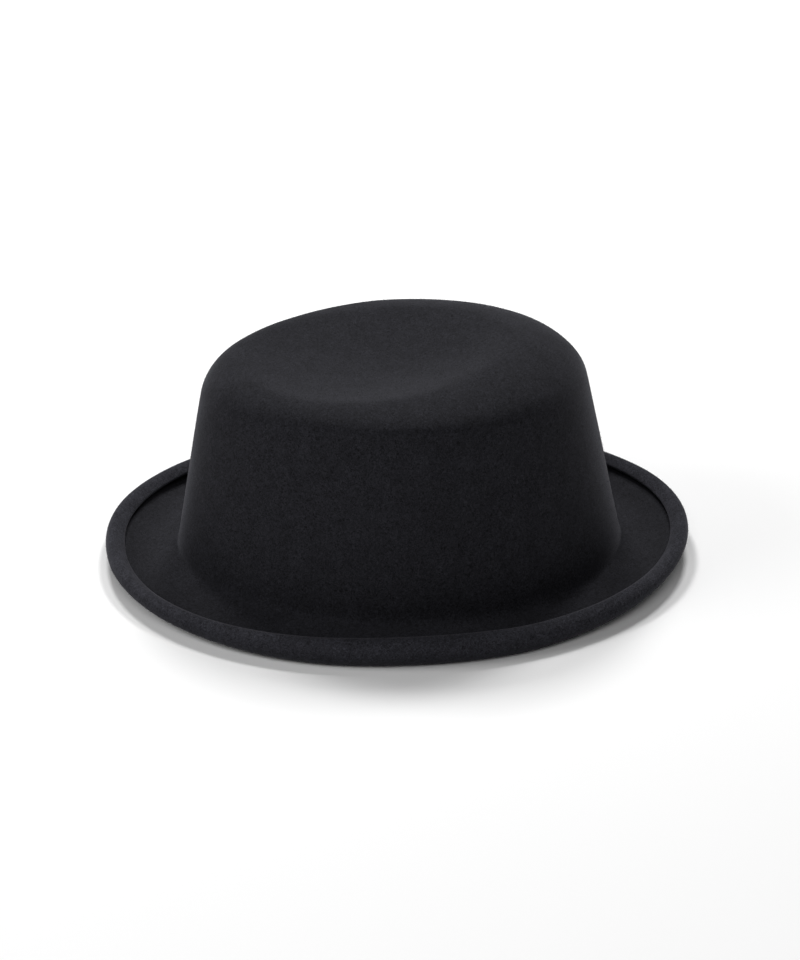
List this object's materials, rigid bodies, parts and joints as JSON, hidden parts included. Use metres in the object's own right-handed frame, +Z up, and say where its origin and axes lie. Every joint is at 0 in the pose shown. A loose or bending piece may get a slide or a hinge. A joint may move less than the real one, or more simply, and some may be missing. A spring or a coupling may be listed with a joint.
{
  "type": "porkpie hat",
  "caption": "Soft felt hat with a tapering round-shouldered crown, a shallow teardrop dent in its top and a narrow brim with a rolled edge.",
  "frame": {"origin": "on the surface that the hat rests on, under the middle of its box", "axes": "+Z up through the crown, -Y toward the front of the hat, +X toward the wearer's left"},
  "size_m": [0.2304, 0.2633, 0.103],
  "materials": {
    "wool_felt": "black wool felt, brushed to a fine short nap, matt"
  },
  "bodies": {
    "root": {"crown_and_brim": "wool_felt"}
  },
  "joints": []
}
